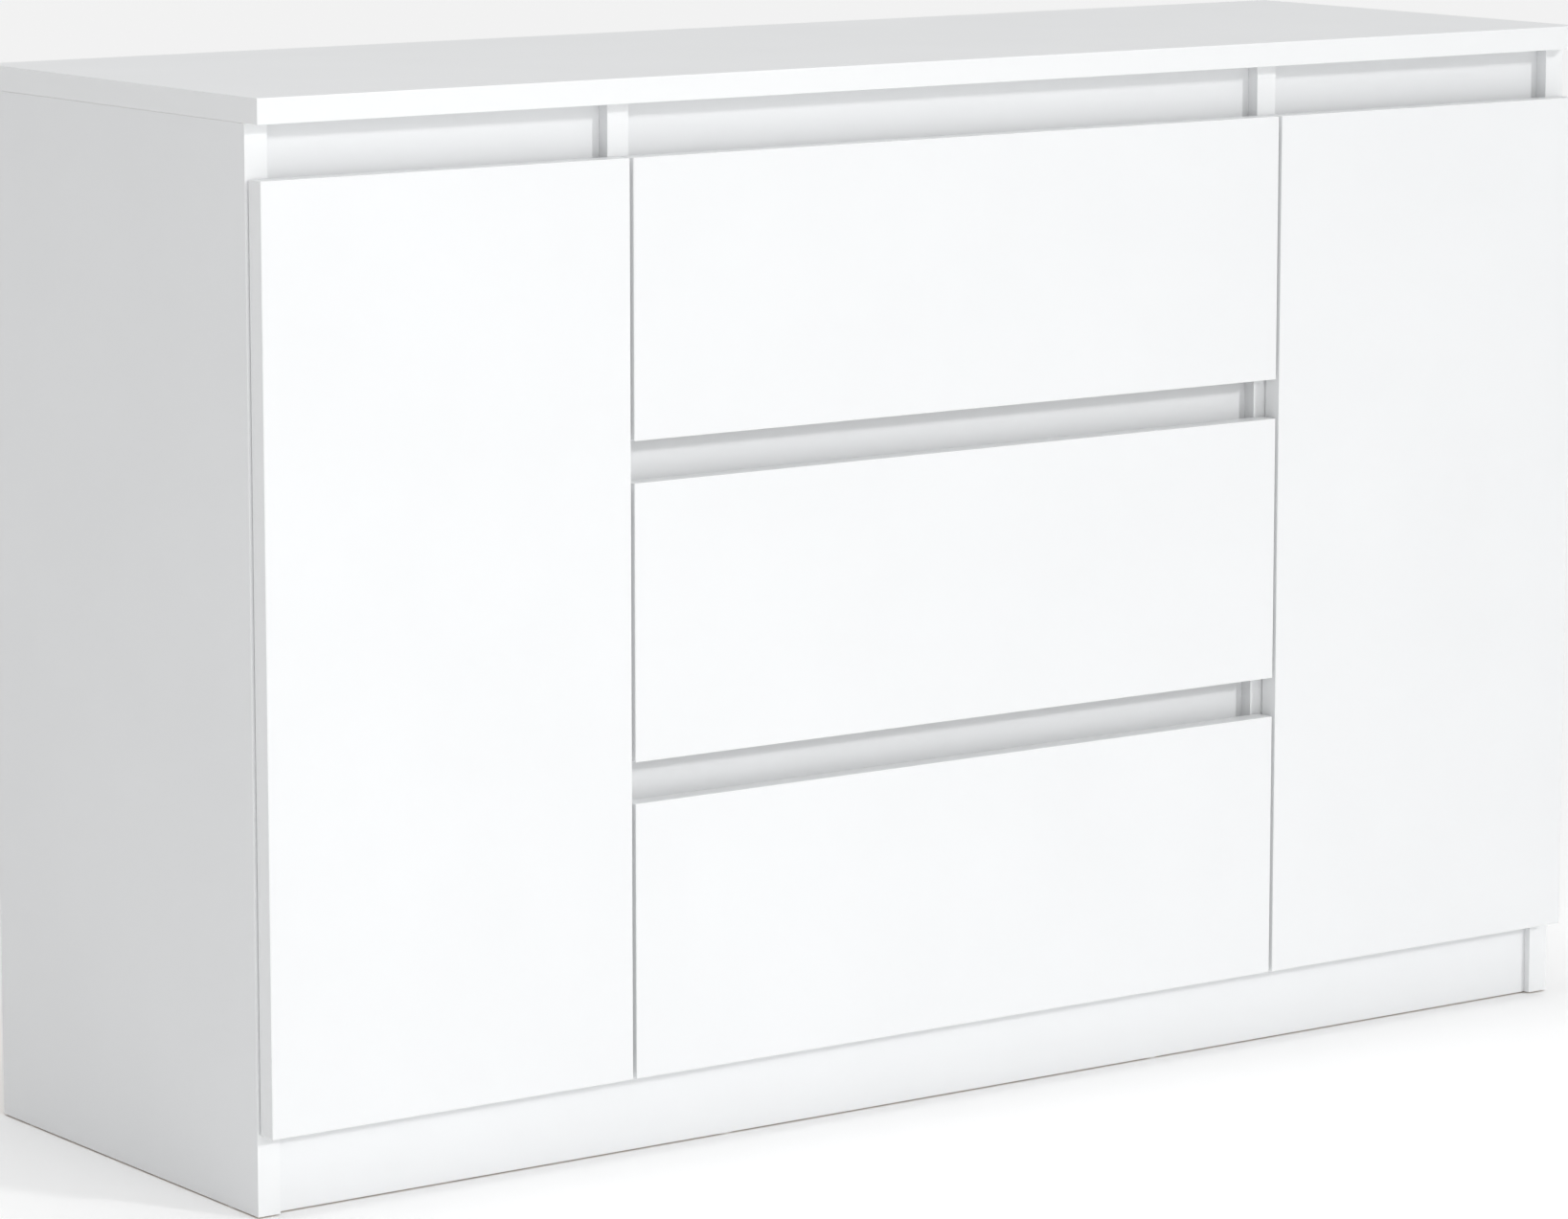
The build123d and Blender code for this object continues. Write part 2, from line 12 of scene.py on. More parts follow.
import bmesh
import bpy
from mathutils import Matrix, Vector


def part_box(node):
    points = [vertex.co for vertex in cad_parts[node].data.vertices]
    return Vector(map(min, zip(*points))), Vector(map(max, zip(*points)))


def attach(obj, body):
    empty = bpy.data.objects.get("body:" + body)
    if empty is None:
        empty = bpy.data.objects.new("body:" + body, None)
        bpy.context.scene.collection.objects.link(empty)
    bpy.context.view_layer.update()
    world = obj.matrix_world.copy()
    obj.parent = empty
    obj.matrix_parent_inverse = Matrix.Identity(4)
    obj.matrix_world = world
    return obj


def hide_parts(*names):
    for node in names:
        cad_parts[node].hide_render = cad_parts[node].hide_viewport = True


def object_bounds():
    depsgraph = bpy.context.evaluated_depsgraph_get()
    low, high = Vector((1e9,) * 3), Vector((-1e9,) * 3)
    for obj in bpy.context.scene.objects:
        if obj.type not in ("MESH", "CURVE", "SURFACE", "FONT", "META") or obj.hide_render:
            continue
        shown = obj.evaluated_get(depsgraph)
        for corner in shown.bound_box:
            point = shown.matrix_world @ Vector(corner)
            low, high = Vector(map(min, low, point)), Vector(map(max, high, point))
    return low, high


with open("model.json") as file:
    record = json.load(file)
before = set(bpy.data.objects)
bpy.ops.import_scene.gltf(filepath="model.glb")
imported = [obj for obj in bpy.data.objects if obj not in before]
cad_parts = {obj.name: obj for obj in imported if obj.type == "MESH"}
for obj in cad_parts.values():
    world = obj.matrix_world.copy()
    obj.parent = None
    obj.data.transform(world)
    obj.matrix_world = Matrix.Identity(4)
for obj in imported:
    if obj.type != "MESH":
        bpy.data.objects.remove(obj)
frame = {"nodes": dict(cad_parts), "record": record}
cad_box = [list(corner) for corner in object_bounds()]
nodes = frame["nodes"]
body_of_node = {name: body for body, names in frame["record"]["behaviour"]["bodies"].items()
                for name in names}
MM = 0.001
HANDS = ("left", "right")
LEVELS = ("lower", "middle", "upper")
print("pieces of the design:", len(nodes), "box:", cad_box)

# %% [markdown]
# ## Small helpers for materials
# A material in Blender is a graph of nodes. Nearly every finish below needs the same start: object
# coordinates (metres, the same on every board), some noise, and a bump. Short helpers keep each
# recipe readable. Constant values go straight on the shader's own sockets.


# %% Material helpers
def new_material(name, colour, roughness, metallic=0.0, specular=0.5, coat=0.0):
    material = bpy.data.materials.new(name)
    material.use_nodes = True
    material.diffuse_color = (*colour, 1)
    shader = material.node_tree.nodes["Principled BSDF"]
    shader.inputs["Base Color"].default_value = (*colour, 1)
    shader.inputs["Roughness"].default_value = roughness
    shader.inputs["Metallic"].default_value = metallic
    shader.inputs["Specular IOR Level"].default_value = specular
    shader.inputs["Coat Weight"].default_value = coat
    return material, shader


def add_node(material, kind, settings=(), links=()):
    """One node, with its properties or input values, and links from other nodes' outputs."""
    node = material.node_tree.nodes.new(kind)
    for key, value in dict(settings).items():
        if key in node.inputs:
            node.inputs[key].default_value = value
        else:
            setattr(node, key, value)
    for key, socket in dict(links).items():
        material.node_tree.links.new(socket, node.inputs[key])
    return node


def place_of(material, stretch=(1, 1, 1)):
    """Object coordinates, stretched where a pattern runs one way."""
    start = add_node(material, "ShaderNodeTexCoord")
    turn = add_node(material, "ShaderNodeMapping", {"Scale": stretch}, {"Vector": start.outputs["Object"]})
    return turn.outputs["Vector"]


def noise_on(material, vector, scale, detail=2.0):
    noise = add_node(material, "ShaderNodeTexNoise", {"Scale": scale, "Detail": detail}, {"Vector": vector})
    return noise.outputs["Fac"]


def colour_between(material, factor, low, high, start=0.0, end=1.0):
    """Blend of two colours as a factor goes from start to end."""
    ramp = add_node(material, "ShaderNodeValToRGB", (), {"Fac": factor})
    ramp.color_ramp.elements[0].position = start
    ramp.color_ramp.elements[1].position = end
    ramp.color_ramp.elements[0].color = (*low, 1)
    ramp.color_ramp.elements[1].color = (*high, 1)
    return ramp.outputs["Color"]


def value_between(material, factor, low, high):
    span = add_node(material, "ShaderNodeMapRange", {"To Min": low, "To Max": high}, {"Value": factor})
    return span.outputs["Result"]


def connect(material, socket, shader, name):
    material.node_tree.links.new(socket, shader.inputs[name])


def bump_with(material, shader, height, strength, distance):
    bump = add_node(material, "ShaderNodeBump", {"Strength": strength, "Distance": distance},
                    {"Height": height})
    connect(material, bump.outputs["Normal"], shader, "Normal")


# %% [markdown]
# ## White laminate, its edge band and the glue line
# The faces are melamine paper pressed onto chipboard against a plate with a very fine pearl grain.
# The grain is far too small to model, so it is a bump of a few hundredths of a millimetre. The edge
# band is smoother plastic, a touch brighter, with faint lines along it. Where the two meet the real
# board shows a hair-thin glue line, so that gets its own slightly darker finish.


# %% White laminate, edge band and glue line
def make_laminate(name, colour, roughness, grain):
    material, shader = new_material(name, colour, roughness, specular=0.45)
    place = place_of(material)
    cloud = noise_on(material, place, 9.0)
    dark = tuple(0.985 * c for c in colour)
    connect(material, colour_between(material, cloud, dark, colour, 0.3, 0.7), shader, "Base Color")
    pearl = noise_on(material, place, 1500.0, 1.0)
    connect(material, value_between(material, pearl, roughness - 0.05, roughness + 0.05), shader, "Roughness")
    bump_with(material, shader, pearl, grain, 0.00004)
    return material


def make_band():
    material, shader = new_material("edge_band", (0.868, 0.878, 0.884), 0.40)
    place = place_of(material, (60, 60, 2500))
    lines = noise_on(material, place, 1.0, 1.0)
    connect(material, value_between(material, lines, 0.36, 0.44), shader, "Roughness")
    bump_with(material, shader, lines, 0.12, 0.00003)
    return material


laminate = make_laminate("white_laminate", (0.858, 0.868, 0.876), 0.46, 0.35)
foil = make_laminate("drawer_foil", (0.84, 0.84, 0.835), 0.52, 0.6)
edge_band = make_band()
glue_line = make_laminate("glue_line", (0.70, 0.69, 0.67), 0.6, 0.3)
print("laminate and band made")

# %% [markdown]
# ## Raw chipboard and hardboard
# Edges that face a wall or another board are left unbanded, and every drilled hole shows the same
# pressed chips: pale and dark flakes a few millimetres long in brown glue. Voronoi cells give the
# flakes. Hardboard is finer: brown felted fibre with the print of a wire screen on its
# rough side, and white lacquer on the side that faces the room inside the cabinet.


# %% Chipboard and hardboard
def make_chipboard():
    material, shader = new_material("raw_chipboard", (0.50, 0.37, 0.23), 0.9, specular=0.2)
    place = place_of(material)
    chips = add_node(material, "ShaderNodeTexVoronoi", {"Scale": 420.0}, {"Vector": place})
    split = add_node(material, "ShaderNodeSeparateColor", (), {"Color": chips.outputs["Color"]})
    flake = colour_between(material, split.outputs["Red"], (0.30, 0.19, 0.10), (0.66, 0.52, 0.34))
    connect(material, flake, shader, "Base Color")
    bump_with(material, shader, chips.outputs["Distance"], 0.6, 0.0003)
    return material


def make_hardboard():
    material, shader = new_material("brown_hardboard", (0.36, 0.23, 0.13), 0.78, specular=0.25)
    place = place_of(material)
    felt = noise_on(material, place, 950.0, 6.0)
    brown = colour_between(material, felt, (0.275, 0.172, 0.095), (0.425, 0.285, 0.17), 0.25, 0.8)
    connect(material, brown, shader, "Base Color")
    screen = []
    for axis in ("X", "Z"):
        wave = add_node(material, "ShaderNodeTexWave", {"Scale": 130.0, "bands_direction": axis,
                                                        "Distortion": 0.4}, {"Vector": place})
        screen.append(wave.outputs["Fac"])
    weave = add_node(material, "ShaderNodeMath", {"operation": "MULTIPLY"})
    material.node_tree.links.new(screen[0], weave.inputs[0])
    material.node_tree.links.new(screen[1], weave.inputs[1])
    bump_with(material, shader, weave.outputs["Value"], 0.5, 0.0002)
    return material


chipboard = make_chipboard()
hardboard = make_hardboard()
lacquer = make_laminate("white_lacquer", (0.83, 0.83, 0.82), 0.48, 0.8)
print("chipboard and hardboard made")

# %% [markdown]
# ## Metal, beech and plastic
# Hinges are nickel plated, slides and screws are zinc plated and cam locks are cast zinc. All are the
# same recipe with other colours: a metallic shader whose roughness wanders a little, and fine marks
# along the way the strip was rolled. Dowels are beech, glides are nylon, door buffers are soft clear
# plastic.


# %% Metals, beech and plastics
def make_metal(name, colour, roughness, marks, stretch=(1, 1, 1)):
    material, shader = new_material(name, colour, roughness, metallic=1.0)
    place = place_of(material, stretch)
    haze = noise_on(material, place, 90.0, 3.0)
    connect(material, value_between(material, haze, roughness - 0.08, roughness + 0.1), shader, "Roughness")
    tint = colour_between(material, haze, tuple(0.9 * c for c in colour), colour, 0.3, 0.7)
    connect(material, tint, shader, "Base Color")
    scratches = noise_on(material, place, 700.0, 2.0)
    bump_with(material, shader, scratches, marks, 0.00003)
    return material


def make_beech():
    material, shader = new_material("beech", (0.66, 0.46, 0.28), 0.6)
    place = place_of(material, (1, 8, 8))
    rings = noise_on(material, place, 90.0, 4.0)
    grain = colour_between(material, rings, (0.52, 0.34, 0.19), (0.74, 0.55, 0.36), 0.35, 0.7)
    connect(material, grain, shader, "Base Color")
    bump_with(material, shader, rings, 0.3, 0.0001)
    return material


def make_plastic(name, colour, roughness, clear=0.0):
    material, shader = new_material(name, colour, roughness)
    shader.inputs["Transmission Weight"].default_value = clear
    mould = noise_on(material, place_of(material), 800.0)
    bump_with(material, shader, mould, 0.2, 0.00004)
    return material


nickel = make_metal("nickel_plate", (0.74, 0.72, 0.68), 0.24, 0.15)
zinc = make_metal("zinc_plate", (0.66, 0.68, 0.70), 0.34, 0.35, (1, 0.05, 1))
screw_zinc = make_metal("screw_zinc", (0.68, 0.69, 0.70), 0.30, 0.2)
cast_zinc = make_metal("cast_zinc", (0.55, 0.55, 0.53), 0.46, 0.7)
ball_steel = make_metal("ball_steel", (0.72, 0.72, 0.73), 0.12, 0.02)
beech = make_beech()
nylon = make_plastic("nylon", (0.78, 0.78, 0.76), 0.45)
buffer_gel = make_plastic("buffer_gel", (0.86, 0.87, 0.86), 0.2, 0.6)
print("metals, beech and plastics made")

# %% [markdown]
# ## Finding the separate solids of a node
# Identical parts share one node of the design, as separate solids: two drawer sides, or all the
# screws of a kind. The designed mesh is loose triangles, so it is welded first. Then its solids are
# found by walking from edge to edge, and each one's box says where it is. Nothing has to be typed in,
# and a part that moves in the design moves here too.


# %% Separate solids of a node
WELD = 0.001 * MM
FLAT_ANGLE = math.radians(0.4)


def welded_copy(node):
    """The designed mesh as one closed skin with its flat faces joined up."""
    shape = bmesh.new()
    shape.from_mesh(nodes[node].data)
    bmesh.ops.remove_doubles(shape, verts=shape.verts, dist=WELD)
    bmesh.ops.dissolve_limit(shape, angle_limit=FLAT_ANGLE, verts=shape.verts, edges=shape.edges)
    return shape


def solids_in(shape):
    """The vertices of every separate solid in a welded skin."""
    unseen = set(shape.verts)
    groups = []
    while unseen:
        group = [unseen.pop()]
        for vert in group:
            for edge in vert.link_edges:
                other = edge.other_vert(vert)
                if other in unseen:
                    unseen.remove(other)
                    group.append(other)
        groups.append(group)
    return groups


def box_around(verts):
    """Low and high corner of some vertices."""
    low = Vector([min(vert.co[k] for vert in verts) for k in range(3)])
    high = Vector([max(vert.co[k] for vert in verts) for k in range(3)])
    return low, high


def box_length(box, axis):
    """Length of a box along one axis, in millimetres."""
    return (box[1][axis] - box[0][axis]) / MM


def solids_of(node):
    """Low and high corner of every separate solid in a node."""
    shape = welded_copy(node)
    boxes = [box_around(group) for group in solids_in(shape)]
    shape.free()
    return sorted(boxes, key=lambda box: tuple(round(c, 5) for c in box[0]))


def unit(axis, sign):
    """Unit vector along an axis, up it or down it."""
    return Vector([sign if k == axis else 0 for k in range(3)])


def face_point(box, axis, sign):
    """Middle of one face of a box."""
    point = (box[0] + box[1]) / 2
    point[axis] = box[1][axis] if sign > 0 else box[0][axis]
    return point


print("separate solids among the nails:", len(solids_of("back_nails")))

# %% [markdown]
# ## Finishing a board
# A board could be drawn again from its size, but the design already holds every drilled hole, groove
# and rebate. So each board is a copy of the designed mesh, welded into one skin. It is then worked on
# as in the shop: the outer edges are eased, a thin strip beside each banded edge is split off with a
# cut plane to become the band, with a hair of glue beside it, and every face gets its finish from
# where it lies: a wide face, a banded edge, or raw chips.

# %% Board finisher
EASE = 0.35 * MM
GLUE = 0.08 * MM
TOUCH = 0.005 * MM
CUT_REACH = 1e-7
NO_BAND_NEAR = 1.0
THICK_BAND = 0.8 * MM
THIN_BAND = 0.4 * MM


def outer_edges(shape, low, high):
    """Edges that lie along the twelve edges of the board's own box."""
    found = []
    for edge in shape.edges:
        fixed = 0
        for axis in range(3):
            a, b = (vert.co[axis] for vert in edge.verts)
            if abs(a - b) < TOUCH and min(abs(a - low[axis]), abs(a - high[axis])) < TOUCH:
                fixed += 1
        if fixed >= 2:
            found.append(edge)
    return found


def inside(point, box):
    """True where a point lies in a box or on its skin."""
    return all(box[0][k] - TOUCH <= point[k] <= box[1][k] + TOUCH for k in range(3))


def to_object(shape, name, materials):
    mesh = bpy.data.meshes.new(name)
    shape.to_mesh(mesh)
    shape.free()
    for material in materials:
        mesh.materials.append(material)
    piece = bpy.data.objects.new(name, mesh)
    bpy.context.scene.collection.objects.link(piece)
    return piece


def stand_for(piece, node):
    """Ride with the node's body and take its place."""
    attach(piece, body_of_node[node])
    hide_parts(node)
    return piece


def finish_board(node, faces, bands=(), band_thickness=THICK_BAND, back_face=None, ease=True):
    """bands lists (axis, sign) of the banded edges, such as (1, -1) for the front one."""
    shape = welded_copy(node)
    low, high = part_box(node)
    if ease:
        edges = outer_edges(shape, low, high)
        bmesh.ops.bevel(shape, geom=edges, offset=EASE, segments=2, profile=0.5, affect="EDGES",
                        clamp_overlap=False)
    for axis, sign in bands:
        edge = high[axis] if sign > 0 else low[axis]
        for depth in (band_thickness, band_thickness + GLUE):
            geometry = shape.verts[:] + shape.edges[:] + shape.faces[:]
            bmesh.ops.bisect_plane(shape, geom=geometry, plane_co=unit(axis, 1) * (edge - sign * depth),
                                   plane_no=unit(axis, sign), dist=CUT_REACH)
    boards = solids_of(node)
    for face in shape.faces:
        centre = face.calc_center_median()
        low, high = next(box for box in boards if inside(centre, box))
        depths = [(high[a] - centre[a] if s > 0 else centre[a] - low[a]) for a, s in bands]
        nearest = min(depths, default=NO_BAND_NEAR)
        flat = min(range(3), key=lambda axis: high[axis] - low[axis])
        on_wide = min(abs(centre[flat] - low[flat]), abs(centre[flat] - high[flat])) < EASE
        if nearest < band_thickness:
            face.material_index = 1
        elif nearest < band_thickness + GLUE and on_wide:
            face.material_index = 2
        elif not on_wide:
            face.material_index = 3
        elif back_face and face.normal[flat] > 0.5:
            face.material_index = 4
    finish = [faces, edge_band, glue_line, chipboard] + ([back_face] if back_face else [])
    return stand_for(to_object(shape, node + "_board", finish), node)


# %% [markdown]
# ## All the boards
# The top, the doors and the drawer fronts are banded on all four edges. Carcass boards are banded
# only where the eye reaches them, on the front. Rails show their lower edge to a hand in the gap, so
# that edge is banded too. The back sheets are lacquered hardboard, brown behind.

# %% Make the boards
FRONT, BACK, LEFT, RIGHT, UP, DOWN = (1, -1), (1, 1), (0, -1), (0, 1), (2, 1), (2, -1)
board_plan = {
    "top_panel": (FRONT, BACK, LEFT, RIGHT),
    "bottom_panel": (FRONT,),
    "plinth_brace": (),
    "front_plinth": (),
    "rear_plinth": (),
    "centre_recess_rail": (DOWN,),
    "lower_drawer_rail": (UP, DOWN),
    "upper_drawer_rail": (UP, DOWN),
}
for hand in HANDS:
    board_plan[hand + "_side_panel"] = (FRONT,)
    board_plan[hand + "_divider"] = (FRONT,)
    board_plan[hand + "_recess_rail"] = (DOWN,)
    board_plan[hand + "_shelf"] = (FRONT,)
    board_plan[hand + "_door"] = (LEFT, RIGHT, UP, DOWN)
for level in LEVELS:
    board_plan[level + "_drawer_front"] = (LEFT, RIGHT, UP, DOWN)
already_eased = [name for name in board_plan if name.endswith(("_door", "_front", "top_panel"))]
for name, bands in board_plan.items():
    made = finish_board(name, laminate, bands, ease=name not in already_eased)
    print(name, len(made.data.polygons), "faces")

for level in LEVELS:
    finish_board(level + "_drawer_sides", foil, (UP,), THIN_BAND, ease=False)
    finish_board(level + "_drawer_back", foil, (UP,), THIN_BAND, ease=False)
    finish_board(level + "_drawer_bottom", lacquer, ease=False)
for name in ("left_back_sheet", "centre_back_sheet", "right_back_sheet"):
    finish_board(name, lacquer, back_face=hardboard, ease=False)
print("boards made:", len(board_plan) + 12)

# %% [markdown]
# ## Pressed and cast metal parts
# Hinge cups, arms, plates and links are stamped from strip, and slide members are rolled. Their shape
# is right in the design, but stamped metal never has a knife edge: the edges catch the light in a thin
# line. A live Bevel modifier on a welded copy rounds every edge a little and keeps the step editable.

# %% Metal parts from the design
SHARP_ANGLE = math.radians(32)
BEVEL_ANGLE = math.radians(40)


def shade_by_angle(mesh):
    mesh.polygons.foreach_set("use_smooth", [True] * len(mesh.polygons))
    mesh.set_sharp_from_angle(angle=SHARP_ANGLE)


def finish_metal(node, material, rounding):
    piece = to_object(welded_copy(node), node + "_part", [material])
    shade_by_angle(piece.data)
    bevel = piece.modifiers.new("rounded edges", "BEVEL")
    bevel.width = rounding
    bevel.segments = 2
    bevel.limit_method = "ANGLE"
    bevel.angle_limit = BEVEL_ANGLE
    return stand_for(piece, node)


finish_metal("hinge_arms", nickel, 0.35 * MM)
finish_metal("hinge_plates", nickel, 0.5 * MM)
for hand in HANDS:
    finish_metal(hand + "_hinge_cups", nickel, 0.3 * MM)
    finish_metal(hand + "_hinge_links", nickel, 0.3 * MM)
finish_metal("slide_cabinet_members", zinc, 0.35 * MM)
for level in LEVELS:
    finish_metal(level + "_slide_runners", zinc, 0.35 * MM)
print("hinge and slide parts made")

# %% [markdown]
# ## Where the nails go
# Each nail's head is the face of its box that looks to the back, and that is also the way it points.

# %% Read the nails' places
nail_places = [(face_point(box, 1, 1), unit(1, 1)) for box in solids_of("back_nails")]
print("nails:", len(nail_places), "the first at", nail_places[0][0])

# %% [markdown]
# ## A tree that turns small round parts
# Nails, screws, pins, glides and cam drums are all turned or headed shapes: a row of radii at rising
# heights. The tree below joins one open cone between each pair of neighbours in that row, so two
# equal heights give a flat shoulder. A cross can be cut into the head. The finished shape is placed on
# every point, aimed along the point's own direction and spun by a seeded random angle, as a
# screwdriver leaves them. Making it a tree means that the sizes stay inputs with names.


# %% The turning tree
RING_WELD = 0.002 * MM
TURN_MAX = 3  # number of the random value's socket for its largest number


def tree_node(tree, kind, settings=(), links=()):
    node = tree.nodes.new(kind)
    for key, value in dict(settings).items():
        if key in node.inputs:
            node.inputs[key].default_value = value
        else:
            setattr(node, key, value)
    for key, output in dict(links).items():
        tree.links.new(output, node.inputs[key])
    return node


def start_tree(name, sizes):
    """New tree with a geometry input, one input for each named size, and a geometry output."""
    tree = bpy.data.node_groups.new(name, "GeometryNodeTree")
    tree.interface.new_socket("Geometry", in_out="INPUT", socket_type="NodeSocketGeometry")
    tree.interface.new_socket("Geometry", in_out="OUTPUT", socket_type="NodeSocketGeometry")
    for label in sizes:
        tree.interface.new_socket(label, in_out="INPUT", socket_type="NodeSocketFloat")
    tree.interface.new_socket("Seed", in_out="INPUT", socket_type="NodeSocketInt")
    tree.interface.new_socket("Material", in_out="INPUT", socket_type="NodeSocketMaterial")
    return tree, tree.nodes.new("NodeGroupInput"), tree.nodes.new("NodeGroupOutput")


def joined(tree, outputs):
    join = tree.nodes.new("GeometryNodeJoinGeometry")
    for output in outputs:
        tree.links.new(output, join.inputs[0])
    return join.outputs[0]


def turned_shape(tree, given, labels, sides):
    """Skin of revolution through the named radii and heights."""
    rings = []
    for low, high in zip(labels, labels[1:]):
        depth = tree_node(tree, "ShaderNodeMath", {"operation": "SUBTRACT"})
        tree.links.new(given.outputs[high + " height"], depth.inputs[0])
        tree.links.new(given.outputs[low + " height"], depth.inputs[1])
        cone = tree_node(tree, "GeometryNodeMeshCone", {"fill_type": "NONE", "Vertices": sides},
                         {"Radius Bottom": given.outputs[low + " radius"],
                          "Radius Top": given.outputs[high + " radius"], "Depth": depth.outputs[0]})
        lift = tree_node(tree, "ShaderNodeCombineXYZ", (), {"Z": given.outputs[low + " height"]})
        moved = tree_node(tree, "GeometryNodeTransform", (),
                          {"Geometry": cone.outputs["Mesh"], "Translation": lift.outputs[0]})
        rings.append(moved.outputs[0])
    skin = tree_node(tree, "GeometryNodeMergeByDistance", {"Distance": RING_WELD},
                     {"Geometry": joined(tree, rings)})
    return skin.outputs[0]


def cross_cut(tree, given, skin, top):
    """Cross recess in the head, cut down from the height named top."""
    bars = []
    lift = tree_node(tree, "ShaderNodeCombineXYZ", (), {"Z": given.outputs[top + " height"]})
    for along, across in (("X", "Y"), ("Y", "X")):
        size = tree_node(tree, "ShaderNodeCombineXYZ", (),
                         {along: given.outputs["cross length"], across: given.outputs["cross width"],
                          "Z": given.outputs["cross depth"]})
        bar = tree_node(tree, "GeometryNodeMeshCube", (), {"Size": size.outputs[0]})
        moved = tree_node(tree, "GeometryNodeTransform", (),
                          {"Geometry": bar.outputs["Mesh"], "Translation": lift.outputs[0]})
        bars.append(moved.outputs[0])
    cut = tree_node(tree, "GeometryNodeMeshBoolean", {"operation": "DIFFERENCE", "solver": "EXACT"})
    tree.links.new(skin, cut.inputs["Mesh 1"])
    for bar in bars:
        tree.links.new(bar, cut.inputs["Mesh 2"])
    return cut.outputs["Mesh"]


def placed_on_points(tree, given, shape, out):
    """Copies on the points, aimed along each one's direction, made real, with their material."""
    aim = tree_node(tree, "GeometryNodeInputNamedAttribute", {"data_type": "FLOAT_VECTOR", "Name": "aim"})
    lean = tree_node(tree, "FunctionNodeAlignRotationToVector", {"axis": "Z"},
                     {"Vector": aim.outputs["Attribute"]})
    turn = tree_node(tree, "FunctionNodeRandomValue", {"data_type": "FLOAT"}, {"Seed": given.outputs["Seed"]})
    turn.inputs[TURN_MAX].default_value = math.tau
    about = tree_node(tree, "ShaderNodeCombineXYZ", (), {"Z": turn.outputs[1]})
    spin = tree_node(tree, "FunctionNodeEulerToRotation", (), {"Euler": about.outputs[0]})
    both = tree_node(tree, "FunctionNodeRotateRotation", {"rotation_space": "LOCAL"},
                     {"Rotation": lean.outputs[0], "Rotate By": spin.outputs[0]})
    copies = tree_node(tree, "GeometryNodeInstanceOnPoints", (),
                       {"Points": given.outputs["Geometry"], "Instance": shape,
                        "Rotation": both.outputs[0]})
    real = tree_node(tree, "GeometryNodeRealizeInstances", (), {"Geometry": copies.outputs[0]})
    coloured = tree_node(tree, "GeometryNodeSetMaterial", (),
                         {"Geometry": real.outputs[0], "Material": given.outputs["Material"]})
    tree.links.new(coloured.outputs[0], out.inputs[0])


def turning_tree(name, labels, sides=24, cross=None):
    """labels names the profile's points from the lowest up. cross names the one that is recessed."""
    sizes = [label + word for label in labels for word in (" radius", " height")]
    sizes += ["cross length", "cross width", "cross depth"] if cross else []
    tree, given, out = start_tree(name, sizes)
    shape = turned_shape(tree, given, labels, sides)
    if cross:
        shape = cross_cut(tree, given, shape, cross)
    placed_on_points(tree, given, shape, out)
    return tree


SCREW_POINTS = ("point", "tip", "neck", "shoulder", "rim", "crown", "centre")
screw_tree = turning_tree("screw", SCREW_POINTS, 24, "crown")
print("screw tree nodes:", len(screw_tree.nodes))

# %% [markdown]
# ## Running a tree
# The points go in as a mesh of loose vertices, each with its direction in an attribute. The inputs are
# set by their sockets' identifiers before the object is first evaluated. The result is then turned
# into a plain mesh and the object with the modifier is thrown away.


# %% Run a tree on a list of places
def run_tree(tree, name, places, sizes, material, seed=1):
    """places is a list of (point, direction). sizes are in millimetres."""
    points = bpy.data.meshes.new(name + "_points")
    points.from_pydata([tuple(point) for point, _ in places], [], [])
    aims = points.attributes.new("aim", "FLOAT_VECTOR", "POINT")
    for number, (_, way) in enumerate(places):
        aims.data[number].vector = way
    carrier = bpy.data.objects.new(name + "_carrier", points)
    bpy.context.scene.collection.objects.link(carrier)
    modifier = carrier.modifiers.new(tree.name, "NODES")
    modifier.node_group = tree
    sockets = {item.name: item.identifier for item in tree.interface.items_tree
               if item.item_type == "SOCKET" and item.in_out == "INPUT"}
    for label, value in sizes.items():
        modifier[sockets[label]] = value * MM
    modifier[sockets["Seed"]] = seed
    modifier[sockets["Material"]] = material
    ready = carrier.evaluated_get(bpy.context.evaluated_depsgraph_get())
    mesh = bpy.data.meshes.new_from_object(ready)
    mesh.name = name
    if "aim" in mesh.attributes:
        mesh.attributes.remove(mesh.attributes["aim"])
    shade_by_angle(mesh)
    bpy.data.objects.remove(carrier)
    piece = bpy.data.objects.new(name, mesh)
    bpy.context.scene.collection.objects.link(piece)
    return piece


def profile(**points):
    """Sizes for a turning tree: point=(radius, height) pairs in millimetres."""
    sizes = {}
    for label, (radius, height) in points.items():
        sizes[label + " radius"] = radius
        sizes[label + " height"] = height
    return sizes


# %% [markdown]
# ## Back nails
# The back is held by small wire nails with flat heads, hammered by hand. They are the one thing that
# shows from behind, so their heads are domed a little and stand just proud of the sheet.

# %% Make the nails
HEAD = max(box[1].x - box[0].x for box in solids_of("back_nails")) / 2 / MM
nail_tree = turning_tree("nail", SCREW_POINTS, 20)
nail_length = max(box[1].y - box[0].y for box in solids_of("back_nails")) / MM
nail_sizes = profile(point=(0, -nail_length), tip=(0.7, -nail_length + 2), neck=(0.7, -0.6),
                     shoulder=(HEAD, -0.6), rim=(HEAD, -0.25), crown=(HEAD * 0.7, -0.03), centre=(0, 0))
nails = run_tree(nail_tree, "back_nail_set", nail_places, nail_sizes, screw_zinc)
stand_for(nails, "back_nails")
print("nail head", round(2 * HEAD, 2), "mm wide,", len(nails.data.polygons), "faces in all")

# %% [markdown]
# ## Screws
# Three kinds of screw are used: small ones in the hinge cups, thick short ones in the mounting plates
# and flat ones in the slides. They share one tree. A screw's direction is the way its head looks, which
# is away from the wood that holds it.

